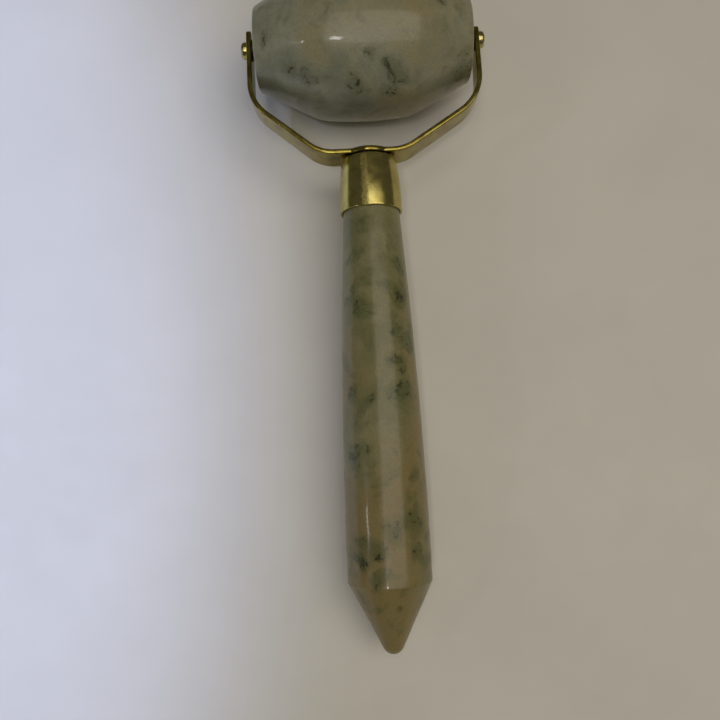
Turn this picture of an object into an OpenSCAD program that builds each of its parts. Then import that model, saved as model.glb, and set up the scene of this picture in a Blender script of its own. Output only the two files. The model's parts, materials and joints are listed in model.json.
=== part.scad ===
// Face roller with a barrel-shaped stone roller in a bent brass fork and a stone handle.
// It lies on the surface z = 0, touching it with the roller's middle and with the edge where
// the handle's point begins. The origin is where the roller touches. X runs along the axle,
// and the handle points towards -Y.

/* [Roller] */
// Length of the stone roller along its axle
roller_length = 48; // [38:0.5:60]
// Largest diameter of the roller, at its middle
roller_d = 33; // [27:0.5:40]
// Diameter of the roller's flat ends
roller_end_d = 18; // [14:0.5:22]
// Length of the gently crowned middle of the roller
crown_length = 16; // [10:0.5:20]
// Drop in radius at the edges of the crowned middle
crown_drop = 0.4; // [0.2:0.05:0.8]
// Radius that turns the middle into the sloping shoulders
shoulder_r = 14.5; // [8:0.5:16]
// Rounding round the roller's flat ends
roller_edge_r = 0.8; // [0.3:0.1:1.2]
// Bore drilled through the roller
roller_bore_d = 5; // [4:0.1:7]

/* [Axle] */
// Diameter of the two axle pins
pin_d = 2.4; // [1.8:0.1:3.2]
// Radial clearance of a pin in its bush
pin_clearance = 0.05; // [0.02:0.01:0.1]
// How far a pin reaches into the roller
pin_reach = 9; // [5:0.5:14]
// Chamfer on a pin's inner end
pin_chamfer = 0.4; // [0.2:0.05:0.7]
// Diameter of a pin's head
pin_head_d = 3.8; // [3.4:0.1:5]
// Height of a pin's head
pin_head_h = 1.4; // [1:0.1:2.4]
// Rounding of a pin's head
pin_head_edge_r = 0.7; // [0.3:0.1:0.9]
// Length of a bush in the roller's bore
bush_length = 11; // [6:0.5:15]
// Depth of a bush below the roller's flat end
bush_recess = 0.1; // [0:0.05:0.3]
// Outer diameter of the spacing washers
washer_d = 4.6; // [4:0.1:6]
// Thickness of a spacing washer
washer_t = 0.9; // [0.4:0.1:1.4]
// Radial clearance of a pin in a washer
washer_clearance = 0.1; // [0.05:0.05:0.2]
// Free play between the roller and each washer
end_play = 0.2; // [0.1:0.05:0.4]

/* [Fork] */
// Width of the fork's flat strip beside the hub
strip_w = 7.8; // [6:0.1:9]
// Width to which the strip narrows at its two ends
strip_end_w = 5; // [4:0.1:6]
// Thickness of the strip
strip_t = 1.1; // [1:0.1:2]
// Rounding of the corners at the strip's two ends
strip_corner_r = 1.2; // [0.5:0.1:1.8]
// Gap between the roller's middle and the hub
hub_gap = 9.2; // [6:0.2:14]
// Diameter of the round hub in the middle of the strip
hub_d = 10.4; // [9:0.2:14]
// Rounding of the hub's edge
hub_edge_r = 0.3; // [0.1:0.05:0.45]
// Inner radius of the bends beside the hub
hub_bend_r = 8; // [3:0.5:9]
// Length of the flat on the left of the hub's centre
left_flat = 7.5; // [5:0.25:8.5]
// Slope of the left arm where it leaves the hub, in degrees
left_slope = 40; // [30:1:44]
// Inner radius of the left arm's upper bend
left_bend_r = 9; // [5:0.5:12]
// Length of the left arm beyond the axle
left_tail = 3.8; // [3:0.1:6]
// Length of the flat on the right of the hub's centre
right_flat = 5.5; // [4:0.25:7]
// Slope of the right arm where it leaves the hub, in degrees
right_slope = 33; // [28:1:40]
// Inner radius of the right arm's upper bend
right_bend_r = 10; // [6:0.5:13]
// Length of the right arm beyond the axle
right_tail = 2.4; // [2:0.1:6]

/* [Hub rivet] */
// Diameter of the rivet through the hub
rivet_d = 2.6; // [2:0.1:3.4]
// Diameter of the rivet's domed head
rivet_head_d = 4.8; // [4:0.1:6]
// Height of the rivet's domed head
rivet_head_h = 1.1; // [0.7:0.1:1.4]
// Diameter of the closed end inside the ferrule
rivet_tail_d = 3.4; // [3:0.1:4]
// Height of the closed end inside the ferrule
rivet_tail_h = 0.7; // [0.5:0.1:1]
// Outer diameter of the washer under the closed end
burr_d = 4.6; // [4.2:0.1:6]
// Thickness of the washer under the closed end
burr_t = 0.5; // [0.3:0.1:0.8]

/* [Ferrule] */
// Length of the ferrule
ferrule_length = 12.7; // [9:0.1:16]
// Diameter of the ferrule at its top edge
ferrule_top_d = 12.4; // [10:0.2:13]
// Diameter of the ferrule at its rim
ferrule_rim_d = 13.8; // [12:0.2:16]
// Wall of the ferrule
ferrule_wall = 0.5; // [0.4:0.05:0.8]
// Thickness of the ferrule's closed top
ferrule_top_t = 1.3; // [1:0.1:1.8]
// Diameter of the flat under the hub
ferrule_land_d = 6; // [5:0.2:8]
// Drop of the domed top from that flat to its edge
ferrule_dome = 0.5; // [0.2:0.05:0.8]
// Rounding of the top edge
ferrule_edge_r = 0.8; // [0.2:0.05:1]
// How sharply the side bells out below the top edge
ferrule_bell = 2.4; // [1.5:0.1:3]
// Rounding of the rim
ferrule_rim_r = 0.15; // [0.05:0.01:0.18]

/* [Handle] */
// Length of the handle from the ferrule's rim to the edge where its point begins
handle_length = 79.4; // [60:0.1:100]
// Diameter at that edge
handle_d = 17.9; // [15:0.1:22]
// Rounding of that edge
handle_edge_r = 0.5; // [0.2:0.05:1]
// Length of the handle's point
point_length = 14.9; // [10:0.1:20]
// Radius of the blunt tip
tip_r = 2.4; // [1.5:0.1:3.5]
// Length of handle inside the ferrule
spigot_length = 8; // [5:0.5:12]
// Chamfer on the handle's inner end
spigot_chamfer = 0.6; // [0.2:0.1:1]
// Thickness of the adhesive between the handle and the ferrule
glue_gap = 0.15; // [0.1:0.01:0.25]
// How far the adhesive stops inside the ferrule's rim
glue_recess = 0.4; // [0.2:0.1:1]
// Room left round the closed end of the rivet
tail_room = 0.15; // [0.05:0.05:0.3]

/* [Hidden] */
$fn = 96;

jade = "#6d7160";
jade_tan = "#7b7353";
brass = "#b09a4e";
brass_pin = "#a8914a";
dark_nylon = "#2a251c";
pale_nylon = "#cfcabb";
resin = "#b9ae8a";

// Points taken along a rounded stretch of an outline, and steps of depth down the ferrule
arc_steps = 10;
crown_steps = 8;
handle_steps = 24;
side_step = 0.5;

roller_r = roller_d/2;
half_length = roller_length/2;
arm_x = half_length + end_play + washer_t;
arm_out = arm_x + strip_t;

// Distances from the axle, along the handle
hub_y = roller_r + hub_gap;
ferrule_y = hub_y + strip_t;
rim_y = ferrule_y + ferrule_length;
point_y = rim_y + handle_length;

neck_r = ferrule_rim_d/2 - ferrule_wall - glue_gap;
point_r = handle_d/2;

// Points on an arc about c, from angle a to angle b
function arc(c, r, a, b, n = arc_steps) =
    [for (i = [0:n]) c + r*[cos(a + (b - a)*i/n), sin(a + (b - a)*i/n)]];

function reversed(list) = [for (i = [len(list) - 1:-1:0]) list[i]];
function after_first(list) = [for (i = [1:len(list) - 1]) list[i]];

// Direction of the normal where a line from p touches a circle of radius r about c
function touch(p, c, r) = atan2(p[1] - c[1], p[0] - c[0]) + acos(r/norm(p - c));

// ---- the pose: the fork's own frame has the roller's centre at its origin ----

// The handle's edge touches the surface that the roller stands on
cone_angle = touch([point_r, 0], [0, point_length - tip_r], tip_r);
edge_y = point_y - handle_edge_r*tan(cone_angle/2);
edge_r = point_r - handle_edge_r;
tilt = asin((roller_r - handle_edge_r)/norm([edge_y, edge_r])) - atan(edge_r/edge_y);

module lie() translate([0, 0, roller_r]) rotate([tilt, 0, 0]) children();

// Turns a solid made about Z so that its Z runs out along one side of the axle
module on_axle(side) rotate([0, side*90, 0]) children();

// Turns a solid made about Z so that its Z runs down the handle, from y along it
module on_handle(y) translate([0, -y, 0]) rotate([90, 0, 0]) children();

// ---- roller ----

// Half of the roller's outline, as [distance along the axle, radius]
crown_r = (pow(crown_length/2, 2) + pow(crown_drop, 2))/(2*crown_drop);
crown_angle = asin(crown_length/2/crown_r);
blend_c = [crown_length/2, roller_r - crown_drop] - shoulder_r*[sin(crown_angle), cos(crown_angle)];
end_point = [half_length, roller_end_d/2];
shoulder_angle = touch(end_point, blend_c, shoulder_r);
edge_c = [
    half_length - roller_edge_r,
    roller_end_d/2 - roller_edge_r*(1 - cos(shoulder_angle))/sin(shoulder_angle)];
half_outline = concat(
    [for (i = [0:crown_steps])
        let (a = crown_angle*i/crown_steps)
        [crown_r*sin(a), roller_r - crown_r*(1 - cos(a))]],
    after_first(arc(blend_c, shoulder_r, 90 - crown_angle, shoulder_angle)),
    arc(edge_c, roller_edge_r, shoulder_angle, 0));

function on_side(side) = [for (p = half_outline) [p[1], side*p[0]]];

module roller_stone() color(jade) lie() on_axle(1)
    difference() {
        rotate_extrude()
            polygon(concat([[0, -half_length]], reversed(on_side(-1)),
                after_first(on_side(1)), [[0, half_length]]));
        cylinder(d = roller_bore_d, h = 2*roller_length, center = true);
    }

module bush(side) color(pale_nylon) lie() on_axle(side)
    translate([0, 0, half_length - bush_recess - bush_length])
        difference() {
            cylinder(d = roller_bore_d, h = bush_length);
            translate([0, 0, -1]) cylinder(r = pin_d/2 + pin_clearance, h = bush_length + 2);
        }

module washer(side) color(dark_nylon) lie() on_axle(side)
    translate([0, 0, half_length + end_play])
        difference() {
            cylinder(d = washer_d, h = washer_t);
            translate([0, 0, -1]) cylinder(r = pin_d/2 + washer_clearance, h = washer_t + 2);
        }

module axle_pin(side) color(brass_pin) lie() on_axle(side) {
    start = half_length - pin_reach;
    r = pin_d/2;
    head_r = pin_head_d/2;
    rotate_extrude()
        polygon(concat(
            [[0, start], [r - pin_chamfer, start], [r, start + pin_chamfer], [r, arm_out],
                [head_r, arm_out]],
            arc([head_r - pin_head_edge_r, arm_out + pin_head_h - pin_head_edge_r],
                pin_head_edge_r, 0, 90),
            [[0, arm_out + pin_head_h]]));
}

// ---- fork: each arm starts at the hub's centre, on the hub's upper face ----

// The line that runs along an arm, at a distance outside its inner face
function arm_line(out, flat, slope, bend_r, upright, tail) = concat(
    [[0, -out]],
    arc([flat, hub_bend_r], hub_bend_r + out, -90, slope - 90),
    arc([arm_x - bend_r, hub_y - upright], bend_r + out, slope - 90, 0),
    [[arm_x + out, hub_y + tail]]);

// An arm seen from its side, as [distance from the hub, height]. It narrows evenly from the hub
// to its free end, whose corners are rounded.
function tapered(reach) =
    let (lean = atan((strip_w - strip_end_w)/2/reach),
        root = strip_t + 1,
        along = reach - strip_corner_r,
        up = strip_w/2 - along*tan(lean) - strip_corner_r/cos(lean))
    concat(
        [[-root, -strip_w/2 - root*tan(lean)]],
        arc([along, -up], strip_corner_r, lean - 90, 0, 4),
        arc([along, up], strip_corner_r, 0, 90 - lean, 4),
        [[-root, strip_w/2 + root*tan(lean)]]);

module arm(flat, slope, bend_r, tail) {
    // The straight between the two bends, and what then stands upright below the axle
    rise = (arm_x - flat - hub_bend_r*sin(slope) - bend_r*(1 - sin(slope)))*tan(slope);
    upright = hub_y - hub_bend_r*(1 - cos(slope)) - rise - bend_r*cos(slope);
    intersection() {
        linear_extrude(2*strip_w, center = true)
            polygon(concat(arm_line(0, flat, slope, bend_r, upright, tail),
                reversed(arm_line(strip_t, flat, slope, bend_r, upright, tail))));
        rotate([90, 0, 90]) linear_extrude(arm_out + 1) polygon(tapered(hub_y + tail));
    }
}

module hub() on_handle(0) {
    r = hub_d/2 - hub_edge_r;
    rotate_extrude()
        polygon(concat([[0, 0]], arc([r, hub_edge_r], hub_edge_r, -90, 0, 4),
            arc([r, strip_t - hub_edge_r], hub_edge_r, 0, 90, 4), [[0, strip_t]]));
}

module fork() color(brass) lie()
    difference() {
        translate([0, -hub_y, 0]) {
            arm(right_flat, right_slope, right_bend_r, right_tail);
            mirror([1, 0, 0]) arm(left_flat, left_slope, left_bend_r, left_tail);
            hub();
        }
        for (side = [-1, 1])
            on_axle(side) translate([0, 0, arm_x - 1]) cylinder(d = pin_d, h = strip_t + 2);
        on_handle(hub_y - 1) cylinder(d = rivet_d, h = strip_t + 2);
    }

// ---- hub rivet, with its domed head towards the roller ----

dome_r = (pow(rivet_head_d/2, 2) + pow(rivet_head_h, 2))/(2*rivet_head_h);
dome_angle = asin(rivet_head_d/2/dome_r);
burr_z = strip_t + ferrule_top_t;
tail_z = burr_z + burr_t;

module hub_rivet() color(brass_pin) lie() on_handle(hub_y)
    rotate_extrude()
        polygon(concat(
            arc([0, dome_r - rivet_head_h], dome_r, -90, dome_angle - 90),
            [[rivet_d/2, 0], [rivet_d/2, tail_z], [rivet_tail_d/2, tail_z],
                [rivet_tail_d/2, tail_z + rivet_tail_h/2],
                [rivet_d/2, tail_z + rivet_tail_h], [0, tail_z + rivet_tail_h]]));

module rivet_burr() color(brass_pin) lie() on_handle(hub_y + burr_z)
    difference() {
        cylinder(d = burr_d, h = burr_t);
        translate([0, 0, -1]) cylinder(d = rivet_d, h = burr_t + 2);
    }

// ---- ferrule: z runs from its top towards its rim ----

side_z = ferrule_dome + ferrule_edge_r;

// Radius of the ferrule's outside at depth z, which bells out quickly and then runs level
function side_r(z) =
    ferrule_rim_d/2 - (ferrule_rim_d - ferrule_top_d)/2
        *pow(max(0, (ferrule_length - z)/(ferrule_length - side_z)), ferrule_bell);

// Points down the side from depth a to depth b, at a distance inside the outer surface. Those
// between lie at whole steps of depth, so that faces which touch share their points.
function side(a, b, inset) =
    [for (z = concat([a], [for (i = [floor(a/side_step) + 1:ceil(b/side_step) - 1]) i*side_step], [b]))
        [side_r(z) - inset, z]];

module ferrule() color(brass) lie() on_handle(ferrule_y) {
    land_r = ferrule_land_d/2;
    dome_w = ferrule_top_d/2 - ferrule_edge_r - land_r;
    rim = ferrule_length - ferrule_rim_r;
    difference() {
        rotate_extrude()
            polygon(concat(
                [[0, 0]],
                [for (i = [0:arc_steps]) let (u = i/arc_steps)
                    [land_r + dome_w*u, ferrule_dome*u*u]],
                arc([ferrule_top_d/2 - ferrule_edge_r, side_z], ferrule_edge_r, -60, 0, 5),
                after_first(side(side_z, rim, 0)),
                [[side_r(rim) - ferrule_rim_r, ferrule_length],
                    [side_r(rim) - ferrule_wall, ferrule_length]],
                reversed(side(ferrule_top_t, rim, ferrule_wall)),
                [[0, ferrule_top_t]]));
        translate([0, 0, -1]) cylinder(d = rivet_d, h = ferrule_top_t + 2);
    }
}

// ---- handle ----

spigot_z = ferrule_length - spigot_length;

// Radius of the handle, a parabola that runs level where the point begins, at share u
function handle_r(u) = point_r - (point_r - neck_r)*pow(1 - u, 2);

module handle_stone() color(jade_tan) lie() on_handle(ferrule_y) {
    inset = ferrule_wall + glue_gap;
    tip_z = ferrule_length + handle_length + point_length;
    rotate_extrude()
        polygon(concat(
            [[0, spigot_z], [side_r(spigot_z) - inset - spigot_chamfer, spigot_z]],
            side(spigot_z + spigot_chamfer, ferrule_length, inset),
            [for (i = [1:handle_steps]) let (u = i/handle_steps)
                [handle_r(u), ferrule_length + (edge_y - rim_y)*u]],
            arc([edge_r, ferrule_length + edge_y - rim_y], handle_edge_r, 0, cone_angle),
            arc([0, tip_z - tip_r], tip_r, cone_angle, 90)));
}

module handle_adhesive() color(resin) lie() on_handle(ferrule_y) {
    inset = ferrule_wall + glue_gap;
    pocket_r = max(burr_d, rivet_tail_d)/2 + tail_room;
    pocket_z = ferrule_top_t + burr_t + rivet_tail_h + tail_room;
    foot = ferrule_length - glue_recess;
    rotate_extrude()
        polygon(concat(
            [[0, pocket_z], [pocket_r, pocket_z], [pocket_r, ferrule_top_t]],
            side(ferrule_top_t, foot, ferrule_wall),
            reversed(side(spigot_z + spigot_chamfer, foot, inset)),
            [[side_r(spigot_z) - inset - spigot_chamfer, spigot_z], [0, spigot_z]]));
}

roller_stone();
bush(-1);  // bush_left
bush(1);  // bush_right
washer(-1);  // washer_left
washer(1);  // washer_right
axle_pin(-1);  // axle_pin_left
axle_pin(1);  // axle_pin_right
fork();
hub_rivet();
rivet_burr();
ferrule();
handle_adhesive();
handle_stone();
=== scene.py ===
"""A jade face roller: its stones, brass and nylon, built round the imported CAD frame.

The frame says where every piece lies. This add-on makes each visible piece as a smooth surface with
its real finish, then sets the stage. All lengths are in metres.

The fork's own frame has the roller's centre at its origin, X along the axle and the handle towards
-Y. Laying it down tilts it about the axle until the handle's edge touches the floor.
"""

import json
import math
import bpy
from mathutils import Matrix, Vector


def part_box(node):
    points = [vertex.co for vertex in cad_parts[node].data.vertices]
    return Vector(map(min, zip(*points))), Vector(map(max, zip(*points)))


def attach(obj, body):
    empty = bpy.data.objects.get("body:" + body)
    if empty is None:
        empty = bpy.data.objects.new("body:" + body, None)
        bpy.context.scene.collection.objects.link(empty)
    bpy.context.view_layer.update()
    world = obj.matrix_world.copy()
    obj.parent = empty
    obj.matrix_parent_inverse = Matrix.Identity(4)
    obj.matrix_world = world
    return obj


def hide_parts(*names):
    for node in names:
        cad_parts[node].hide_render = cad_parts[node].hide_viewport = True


bl_info = {
    "name": "Jade Face Roller",
    "version": (1, 0, 0),
    "blender": (4, 5, 0),
    "location": "View3D > Sidebar > Face Roller",
    "description": "Builds a jade face roller with a bent brass fork and a stone handle",
    "category": "Add Mesh",
}

from types import SimpleNamespace

import bpy
import numpy as np
from bpy.props import FloatProperty, FloatVectorProperty, PointerProperty
from mathutils import Matrix, Vector

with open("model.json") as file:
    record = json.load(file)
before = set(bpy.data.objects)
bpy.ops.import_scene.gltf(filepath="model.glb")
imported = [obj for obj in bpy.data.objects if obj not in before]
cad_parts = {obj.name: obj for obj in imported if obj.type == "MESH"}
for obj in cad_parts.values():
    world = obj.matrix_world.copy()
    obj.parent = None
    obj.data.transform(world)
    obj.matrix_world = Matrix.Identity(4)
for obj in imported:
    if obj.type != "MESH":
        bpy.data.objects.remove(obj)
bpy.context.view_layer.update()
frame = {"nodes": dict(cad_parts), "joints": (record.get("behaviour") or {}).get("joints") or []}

MM = 0.001


# ---- settings -------------------------------------------------------------------------------


def linear(hex_code):
    """The linear colour of an sRGB hex code, such as #8a8f7c, with an alpha of one."""
    coded = np.array([int(hex_code[i:i + 2], 16) for i in (1, 3, 5)])/255
    light = np.where(coded <= 0.04045, coded/12.92, ((coded + 0.055)/1.055)**2.4)
    return (*light.tolist(), 1.0)


def length(name, description, millimetres):
    """A length setting, given here in millimetres."""
    return FloatProperty(name=name, description=description, default=millimetres*MM, min=0.0,
                         subtype="DISTANCE", unit="LENGTH", precision=5)


def angle(name, description, degrees):
    """An angle setting, given here in degrees."""
    return FloatProperty(name=name, description=description, default=math.radians(degrees),
                         subtype="ANGLE", unit="ROTATION")


def tint(name, description, hex_code):
    """A colour setting, given here as an sRGB hex code."""
    return FloatVectorProperty(name=name, description=description, default=linear(hex_code),
                               size=4, min=0.0, max=1.0, subtype="COLOR")


def position(name, description, *millimetres):
    """A place setting, given here in millimetres."""
    return FloatVectorProperty(name=name, description=description, size=3,
                               default=[m*MM for m in millimetres], subtype="TRANSLATION",
                               unit="LENGTH")


class RollerSizes(bpy.types.PropertyGroup):
    """The barrel-shaped stone. Its length, diameter and bore come from the frame."""

    end_diameter: length("End diameter", "Diameter of the flat ends", 18)
    crown_length: length("Crown length", "Length of the gently crowned middle", 16)
    crown_drop: length("Crown drop", "Drop in radius at the edges of the crown", 0.4)
    shoulder_radius: length("Shoulder radius", "Turns the crown into the shoulders", 14.5)
    edge_radius: length("Edge radius", "Rounding round the flat ends", 0.8)
    bore_edge: length("Bore edge", "Rounding of the bore's mouth", 0.15)
    unevenness: length("Unevenness", "How far hand grinding strays inwards", 0.07)


class FittingSizes(bpy.types.PropertyGroup):
    """The two axle pins with their bushes and washers. Their places come from the frame."""

    pin_diameter: length("Pin diameter", "Diameter of the axle pins", 2.4)
    pin_clearance: length("Pin clearance", "Radial clearance in the bushes", 0.05)
    washer_clearance: length("Washer clearance", "Radial clearance in the washers", 0.1)
    pin_chamfer: length("Pin chamfer", "Chamfer on a pin's inner end", 0.4)
    head_edge: length("Head edge", "Rounding of a pin's head", 0.7)
    fine_edge: length("Fine edge", "Rounding of bushes and washers", 0.1)


class ForkSizes(bpy.types.PropertyGroup):
    """The bent strip with its round hub. The span between its arms comes from the frame."""

    strip_width: length("Strip width", "Width of the flat strip beside the hub", 7.8)
    end_width: length("End width", "Width to which the strip narrows at its ends", 5)
    strip_thickness: length("Strip thickness", "Thickness of the strip", 1.1)
    strip_edge: length("Strip edge", "Rounding of the strip's long edges", 0.3)
    corner_radius: length("Corner radius", "Rounding of the free ends' corners", 1.2)
    hub_gap: length("Hub gap", "Gap between the roller's middle and the hub", 9.2)
    hub_diameter: length("Hub diameter", "Diameter of the round hub", 10.4)
    hub_fillet: length("Hub fillet", "Softening where the strip leaves the hub", 0.3)
    hub_bend: length("Hub bend", "Inner radius of the bends beside the hub", 8)
    left_flat: length("Left flat", "Flat to the left of the hub's centre", 7.5)
    left_slope: angle("Left slope", "Slope of the left arm where it leaves the hub", 40)
    left_bend: length("Left bend", "Inner radius of the left arm's upper bend", 9)
    left_tail: length("Left tail", "Left arm beyond the axle", 3.8)
    right_flat: length("Right flat", "Flat to the right of the hub's centre", 5.5)
    right_slope: angle("Right slope", "Slope of the right arm where it leaves the hub", 33)
    right_bend: length("Right bend", "Inner radius of the right arm's upper bend", 10)
    right_tail: length("Right tail", "Right arm beyond the axle", 2.4)
    rivet_diameter: length("Rivet diameter", "Shank of the rivet through the hub", 2.6)
    rivet_head: length("Rivet head", "Diameter of the rivet's domed head", 4.8)
    rivet_dome: length("Rivet dome", "Height of the rivet's domed head", 1.1)
    rivet_tail: length("Rivet tail", "Diameter of the rivet's closed end", 3.4)
    rivet_tail_height: length("Rivet tail height", "Height of the closed end", 0.7)
    burr_thickness: length("Burr thickness", "Washer under the rivet's closed end", 0.5)


class FerruleSizes(bpy.types.PropertyGroup):
    """The drawn cup that holds the handle."""

    length: length("Length", "Length of the ferrule", 12.7)
    top_diameter: length("Top diameter", "Diameter at the top edge", 12.4)
    rim_diameter: length("Rim diameter", "Diameter at the rim", 13.8)
    wall: length("Wall", "Thickness of the side", 0.5)
    top_thickness: length("Top thickness", "Thickness of the closed top", 1.3)
    land_diameter: length("Land diameter", "Flat under the hub", 6)
    dome: length("Dome", "Drop of the top from that flat to its edge", 0.5)
    edge_radius: length("Edge radius", "Rounding of the top edge", 0.8)
    rim_radius: length("Rim radius", "Rounding of the rim", 0.15)
    bell: FloatProperty(name="Bell", description="How sharply the side bells out", default=2.4,
                        min=1.0)


class HandleSizes(bpy.types.PropertyGroup):
    """The tapered stone handle with its blunt point."""

    length: length("Length", "From the ferrule's rim to the edge of the point", 79.4)
    diameter: length("Diameter", "Diameter at that edge", 17.9)
    edge_radius: length("Edge radius", "Rounding of that edge", 0.5)
    point_length: length("Point length", "Length of the point", 14.9)
    tip_radius: length("Tip radius", "Radius of the blunt tip", 2.4)
    spigot_length: length("Spigot length", "Handle inside the ferrule", 8)
    spigot_chamfer: length("Spigot chamfer", "Chamfer on the inner end", 0.6)
    glue_gap: length("Glue gap", "Adhesive between handle and ferrule", 0.15)
    unevenness: length("Unevenness", "How far hand grinding strays inwards", 0.08)


class Colours(bpy.types.PropertyGroup):
    """Colours of the stones, metals, plastics and floor."""

    roller_body: tint("Roller body", "Grey-green ground of the roller", "#858875")
    roller_cloud: tint("Roller cloud", "Paler clouds in the roller", "#9b9d89")
    # Partly real iron staining and partly painted warm light, laid towards the roller's +X end
    roller_stain_and_warm_light: tint("Roller warm", "Iron-stained parts of the roller", "#968c68")
    roller_deep: tint("Roller deep", "Darker green drifts in the roller", "#6c6f52")
    handle_body: tint("Handle body", "Olive ground of the handle", "#7a7853")
    handle_cloud: tint("Handle cloud", "Paler clouds in the handle", "#8e8b67")
    handle_warm: tint("Handle warm", "Iron-stained parts of the handle", "#8a7b50")
    handle_deep: tint("Handle deep", "Darker green drifts in the handle", "#4f5a35")
    fleck: tint("Fleck", "Green-black mineral flecks", "#25270f")
    brass: tint("Brass", "Brass of the ferrule", "#c4b870")
    strip_brass: tint("Strip brass", "Brass of the fork", "#a1954a")
    tarnish: tint("Tarnish", "Brass gone brown in the recesses", "#7a622a")
    pin_brass: tint("Pin brass", "Brass of the pins and the rivet", "#c2b57a")
    # Painted shade: this near-black stands in for the shadowed gap between each arm and the
    # roller's end
    washer: tint("Washer", "Shade-painted nylon of the washers", "#262119")
    bush: tint("Bush", "Natural nylon of the bushes", "#cfcabb")
    adhesive: tint("Adhesive", "Cured resin in the ferrule", "#b9ae8a")
    floor: tint("Floor", "Pale floor", "#dedbd4")


class StageSettings(bpy.types.PropertyGroup):
    """Where the camera stands."""

    camera_place: position("Camera place", "Where the camera stands", -4.2, -98.3, 166.2)
    camera_aim: position("Camera aim", "What the camera looks at", -4.1, -69.8, 0)
    camera_roll: angle("Camera roll", "Turn of the camera about its view", -2.6)


class FaceRollerSettings(bpy.types.PropertyGroup):
    """All settings of the face roller."""

    roller: PointerProperty(type=RollerSizes)
    fittings: PointerProperty(type=FittingSizes)
    fork: PointerProperty(type=ForkSizes)
    ferrule: PointerProperty(type=FerruleSizes)
    handle: PointerProperty(type=HandleSizes)
    colours: PointerProperty(type=Colours)
    stage: PointerProperty(type=StageSettings)


# ---- outlines -------------------------------------------------------------------------------


def arc(centre, radius, start, end, steps=12):
    """Points at centre + radius (cos a, sin a), as a goes evenly from start to end in degrees."""
    a = np.radians(np.linspace(start, end, steps + 1))
    return np.asarray(centre) + radius*np.column_stack((np.cos(a), np.sin(a)))


def straight(start, end, steps=8):
    """Points from start to end, closer together near both, so that rounded edges stay tight."""
    share = (1 - np.cos(np.linspace(0, np.pi, steps + 1)))/2
    return np.asarray(start) + share[:, None]*(np.asarray(end) - np.asarray(start))


def joined(*stretches):
    """One outline from several stretches, without the points that repeat where they meet."""
    points = np.vstack(stretches)
    fresh = np.linalg.norm(np.diff(points, axis=0), axis=1) > 1e-7
    return points[np.concatenate(([True], fresh))]


def touch(point, centre, radius):
    """Angle in degrees of the normal where a line from a point touches a circle."""
    away = np.subtract(point, centre)
    return math.degrees(math.atan2(away[1], away[0]) + math.acos(radius/math.hypot(*away)))


def rounded_tube(start, end, inner, outer, edge):
    """Closed outline of a tube, as [distance along the axis, radius], with rounded edges."""
    return joined(
        straight((start + edge, outer), (end - edge, outer)),
        arc((end - edge, outer - edge), edge, 90, 0, 5),
        arc((end - edge, inner + edge), edge, 0, -90, 5),
        straight((end - edge, inner), (start + edge, inner)),
        arc((start + edge, inner + edge), edge, -90, -180, 5),
        arc((start + edge, outer - edge), edge, 180, 90, 5),
    )[:-1]


# ---- surfaces -------------------------------------------------------------------------------


def skin(name, grid, first=None, last=None, notes=None):
    """Covers a grid of points, rows by places round, with quads.

    Each row closes on itself. Where first and last poles are given, triangles close the ends on
    them; otherwise the last row joins the first. The faces are turned outwards by the sign of the
    volume. notes holds values for each point, kept as attributes for the material.
    """
    rows, around = grid.shape[:2]
    points = grid.reshape(-1, 3)
    index = np.arange(rows*around).reshape(rows, around)
    ring = first is None
    here = index if ring else index[:-1]
    there = np.roll(index, -1, axis=0) if ring else index[1:]
    quads = np.stack((here, np.roll(here, -1, 1), np.roll(there, -1, 1), there), -1).reshape(-1, 4)
    fans = np.empty((0, 3), int)
    if not ring:
        points = np.vstack((points, first, last))
        pole = np.full(around, rows*around)
        fans = np.vstack((np.column_stack((pole, np.roll(index[0], -1), index[0])),
                          np.column_stack((pole + 1, index[-1], np.roll(index[-1], -1)))))
    triangles = points[np.vstack((quads[:, :3], quads[:, [0, 2, 3]], fans))]
    volume = np.einsum("ij,ij->", triangles[:, 0], np.cross(triangles[:, 1], triangles[:, 2]))
    if volume < 0:
        quads, fans = quads[:, ::-1], fans[:, ::-1]
    corners = np.concatenate((quads.ravel(), fans.ravel()))
    counts = np.repeat((4, 3), (len(quads), len(fans)))
    mesh = bpy.data.meshes.new(name)
    mesh.vertices.add(len(points))
    mesh.vertices.foreach_set("co", points.astype(np.float32).ravel())
    mesh.loops.add(len(corners))
    mesh.loops.foreach_set("vertex_index", corners.astype(np.int32))
    mesh.polygons.add(len(counts))
    mesh.polygons.foreach_set("loop_start", (np.cumsum(counts) - counts).astype(np.int32))
    mesh.polygons.foreach_set("use_smooth", np.ones(len(counts), bool))
    for note, values in (notes or {}).items():
        mesh.attributes.new(note, "FLOAT_VECTOR", "POINT").data.foreach_set(
            "vector", values.astype(np.float32).ravel())
    mesh.update(calc_edges=True)
    if mesh.validate():
        raise RuntimeError(f"the surface of {name} has faces that don't fit together")
    piece = bpy.data.objects.new(name, mesh)
    bpy.context.scene.collection.objects.link(piece)
    return piece


def turned(name, outline, place, around=128, unevenness=None):
    """Carries an outline round an axis: [d, r] at angle t goes to place(d, r cos t, r sin t).

    Ends of the outline on the axis become poles; an outline with neither is a closed ring. The
    unevenness is a function of d, r and t that says how far a point strays inwards.
    """
    on_axis = outline[:, 1] < 1e-9
    rows = outline[~on_axis]
    t = np.linspace(0, 2*np.pi, around, endpoint=False)
    d, r = rows[:, :1] + 0*t, rows[:, 1:] + 0*t
    if unevenness:
        r = r - unevenness(d, r, t)
    grid = place(d, r*np.cos(t), r*np.sin(t))
    poles = [place(*point, 0.0) for point in outline[on_axis]]
    return skin(name, grid, *poles)


def along_axle(side, axle):
    """A placing for turned pieces whose axis runs out along one side of the axle."""
    return lambda d, u, v: np.stack(np.broadcast_arrays(side*d, u, v + axle.z), -1)


def along_handle(start, plan):
    """A placing for turned pieces whose axis runs down the handle from a start."""
    return lambda d, u, v: lay_down(np.stack(np.broadcast_arrays(u, -(start + d), v), -1), plan)


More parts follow.
